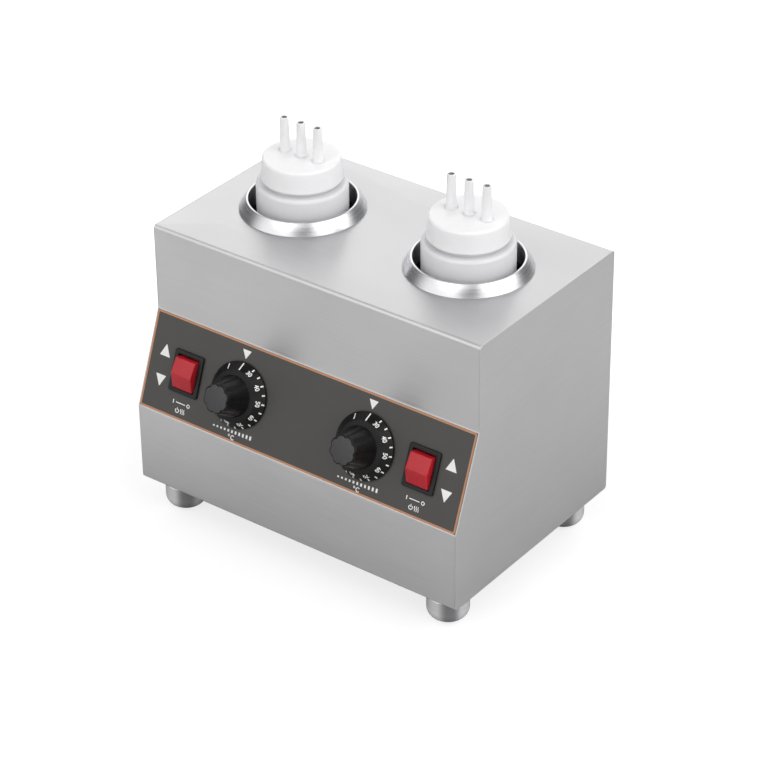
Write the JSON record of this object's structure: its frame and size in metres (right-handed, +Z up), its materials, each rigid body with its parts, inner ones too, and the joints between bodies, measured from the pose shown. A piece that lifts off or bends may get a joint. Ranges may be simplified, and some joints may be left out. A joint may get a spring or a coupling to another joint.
{
  "type": "hot fudge topping warmer",
  "caption": "Countertop warmer: a steel casing with sloping dial and switch panel, heated wells with polished collars, and lift-out squeeze bottles with multi-nozzle screw caps.",
  "frame": {"origin": "centre of the whole object's box in plan, on the plane of the foot pads", "axes": "+X to the right as seen from the front, +Y to the back, where the cable gland points, +Z up"},
  "size_m": [0.325, 0.2499, 0.3355],
  "materials": {
    "brushed_steel_sheet": "brushed",
    "plain_steel_sheet": "satin",
    "zinc_fasteners": "zinc plated",
    "panel_film": "satin, orange border",
    "polished_collar": "polished",
    "pot_steel": "drawn",
    "heater_silicone": "silicone",
    "bottle_plastic": "milky",
    "cap_plastic": "smooth",
    "seal_foam": "soft",
    "knob_plastic": "gloss",
    "shaft_steel": "turned",
    "control_plastic": "moulded",
    "probe_copper": "drawn copper",
    "switch_plastic": "moulded",
    "rocker_red": "gloss",
    "lead_insulation": "silicone",
    "lead_insulation_earth": "silicone",
    "terminal_brass": "plain",
    "foot_metal": "polished",
    "foot_rubber": "matte",
    "gland_plastic": "moulded"
  },
  "bodies": {
    "casing": {"base_plate": "plain_steel_sheet", "base_screws": "zinc_fasteners", "control_overlay": "panel_film", "earth_lead": "lead_insulation_earth", "earth_stud": "zinc_fasteners", "foot_bolts": "zinc_fasteners", "foot_front_left": "foot_metal", "foot_front_right": "foot_metal", "foot_nuts": "zinc_fasteners", "foot_pads": "foot_rubber", "foot_rear_left": "foot_metal", "foot_rear_right": "foot_metal", "front_sheet": "brushed_steel_sheet", "gland_body": "gland_plastic", "gland_locknut": "gland_plastic", "gland_nut": "gland_plastic", "gland_seal": "foot_rubber", "heater_band_left": "heater_silicone", "heater_band_right": "heater_silicone", "heater_clamp_screws": "zinc_fasteners", "leads_left": "lead_insulation", "leads_right": "lead_insulation", "probe_clips": "plain_steel_sheet", "rear_sheet": "brushed_steel_sheet", "side_plate_left": "brushed_steel_sheet", "side_plate_right": "brushed_steel_sheet", "switch_body_left": "switch_plastic", "switch_body_right": "switch_plastic", "switch_terminals": "terminal_brass", "terminal_block": "control_plastic", "terminal_clamp_screws": "terminal_brass", "terminal_mount_screws": "zinc_fasteners", "thermostat_left": "control_plastic", "thermostat_probe_left": "probe_copper", "thermostat_probe_right": "probe_copper", "thermostat_right": "control_plastic", "thermostat_screws": "zinc_fasteners", "top_sheet": "brushed_steel_sheet", "well_collar_left": "polished_collar", "well_collar_right": "polished_collar", "well_pot_left": "pot_steel", "well_pot_right": "pot_steel"},
    "knob_left": {"knob_left": "knob_plastic", "thermostat_shaft_left": "shaft_steel"},
    "rocker_left": {"rocker_left": "rocker_red"},
    "bottle_left": {"bottle_left": "bottle_plastic"},
    "cap_liner_left": {"cap_liner_left": "seal_foam"},
    "bottle_cap_left": {"bottle_cap_left": "cap_plastic"},
    "knob_right": {"knob_right": "knob_plastic", "thermostat_shaft_right": "shaft_steel"},
    "rocker_right": {"rocker_right": "rocker_red"},
    "bottle_right": {"bottle_right": "bottle_plastic"},
    "cap_liner_right": {"cap_liner_right": "seal_foam"},
    "bottle_cap_right": {"bottle_cap_right": "cap_plastic"}
  },
  "joints": [
    {"name": "knob_left_turn", "type": "hinge", "parent": "casing", "child": "knob_left", "pos_m": [-0.0642, -0.09063, 0.13982], "axis": [0, -0.9327, 0.3605], "range_deg": [0, 252]},
    {"name": "rocker_left_tilt", "type": "hinge", "parent": "casing", "child": "rocker_left", "pos_m": [-0.1197, -0.08877, 0.13909], "axis": [1, 0, 0], "range_deg": [-14, 0]},
    {"name": "bottle_left_lift", "type": "slide", "parent": "casing", "child": "bottle_left", "axis": [0, 0, 1], "range_m": [0, 0.2]},
    {"name": "cap_left_rise", "type": "slide", "parent": "bottle_left", "child": "cap_liner_left", "axis": [0, 0, 1], "range_m": [0, 0.016]},
    {"name": "cap_left_turn", "type": "hinge", "parent": "cap_liner_left", "child": "bottle_cap_left", "pos_m": [-0.0833, 0.02094, 0.3025], "axis": [0, 0, 1], "range_deg": [0, 720]},
    {"name": "knob_right_turn", "type": "hinge", "parent": "casing", "child": "knob_right", "pos_m": [0.0642, -0.09063, 0.13982], "axis": [0, -0.9327, 0.3605], "range_deg": [0, 252]},
    {"name": "rocker_right_tilt", "type": "hinge", "parent": "casing", "child": "rocker_right", "pos_m": [0.1197, -0.08877, 0.13909], "axis": [1, 0, 0], "range_deg": [-14, 0]},
    {"name": "bottle_right_lift", "type": "slide", "parent": "casing", "child": "bottle_right", "axis": [0, 0, 1], "range_m": [0, 0.2]},
    {"name": "cap_right_rise", "type": "slide", "parent": "bottle_right", "child": "cap_liner_right", "axis": [0, 0, 1], "range_m": [0, 0.016]},
    {"name": "cap_right_turn", "type": "hinge", "parent": "cap_liner_right", "child": "bottle_cap_right", "pos_m": [0.0833, 0.02094, 0.3025], "axis": [0, 0, 1], "range_deg": [0, 720]}
  ],
  "couplings": [
    {"joint": "cap_left_rise", "follows": "cap_left_turn", "m_per_rad": 0.0012732},
    {"joint": "cap_right_rise", "follows": "cap_right_turn", "m_per_rad": 0.0012732}
  ]
}
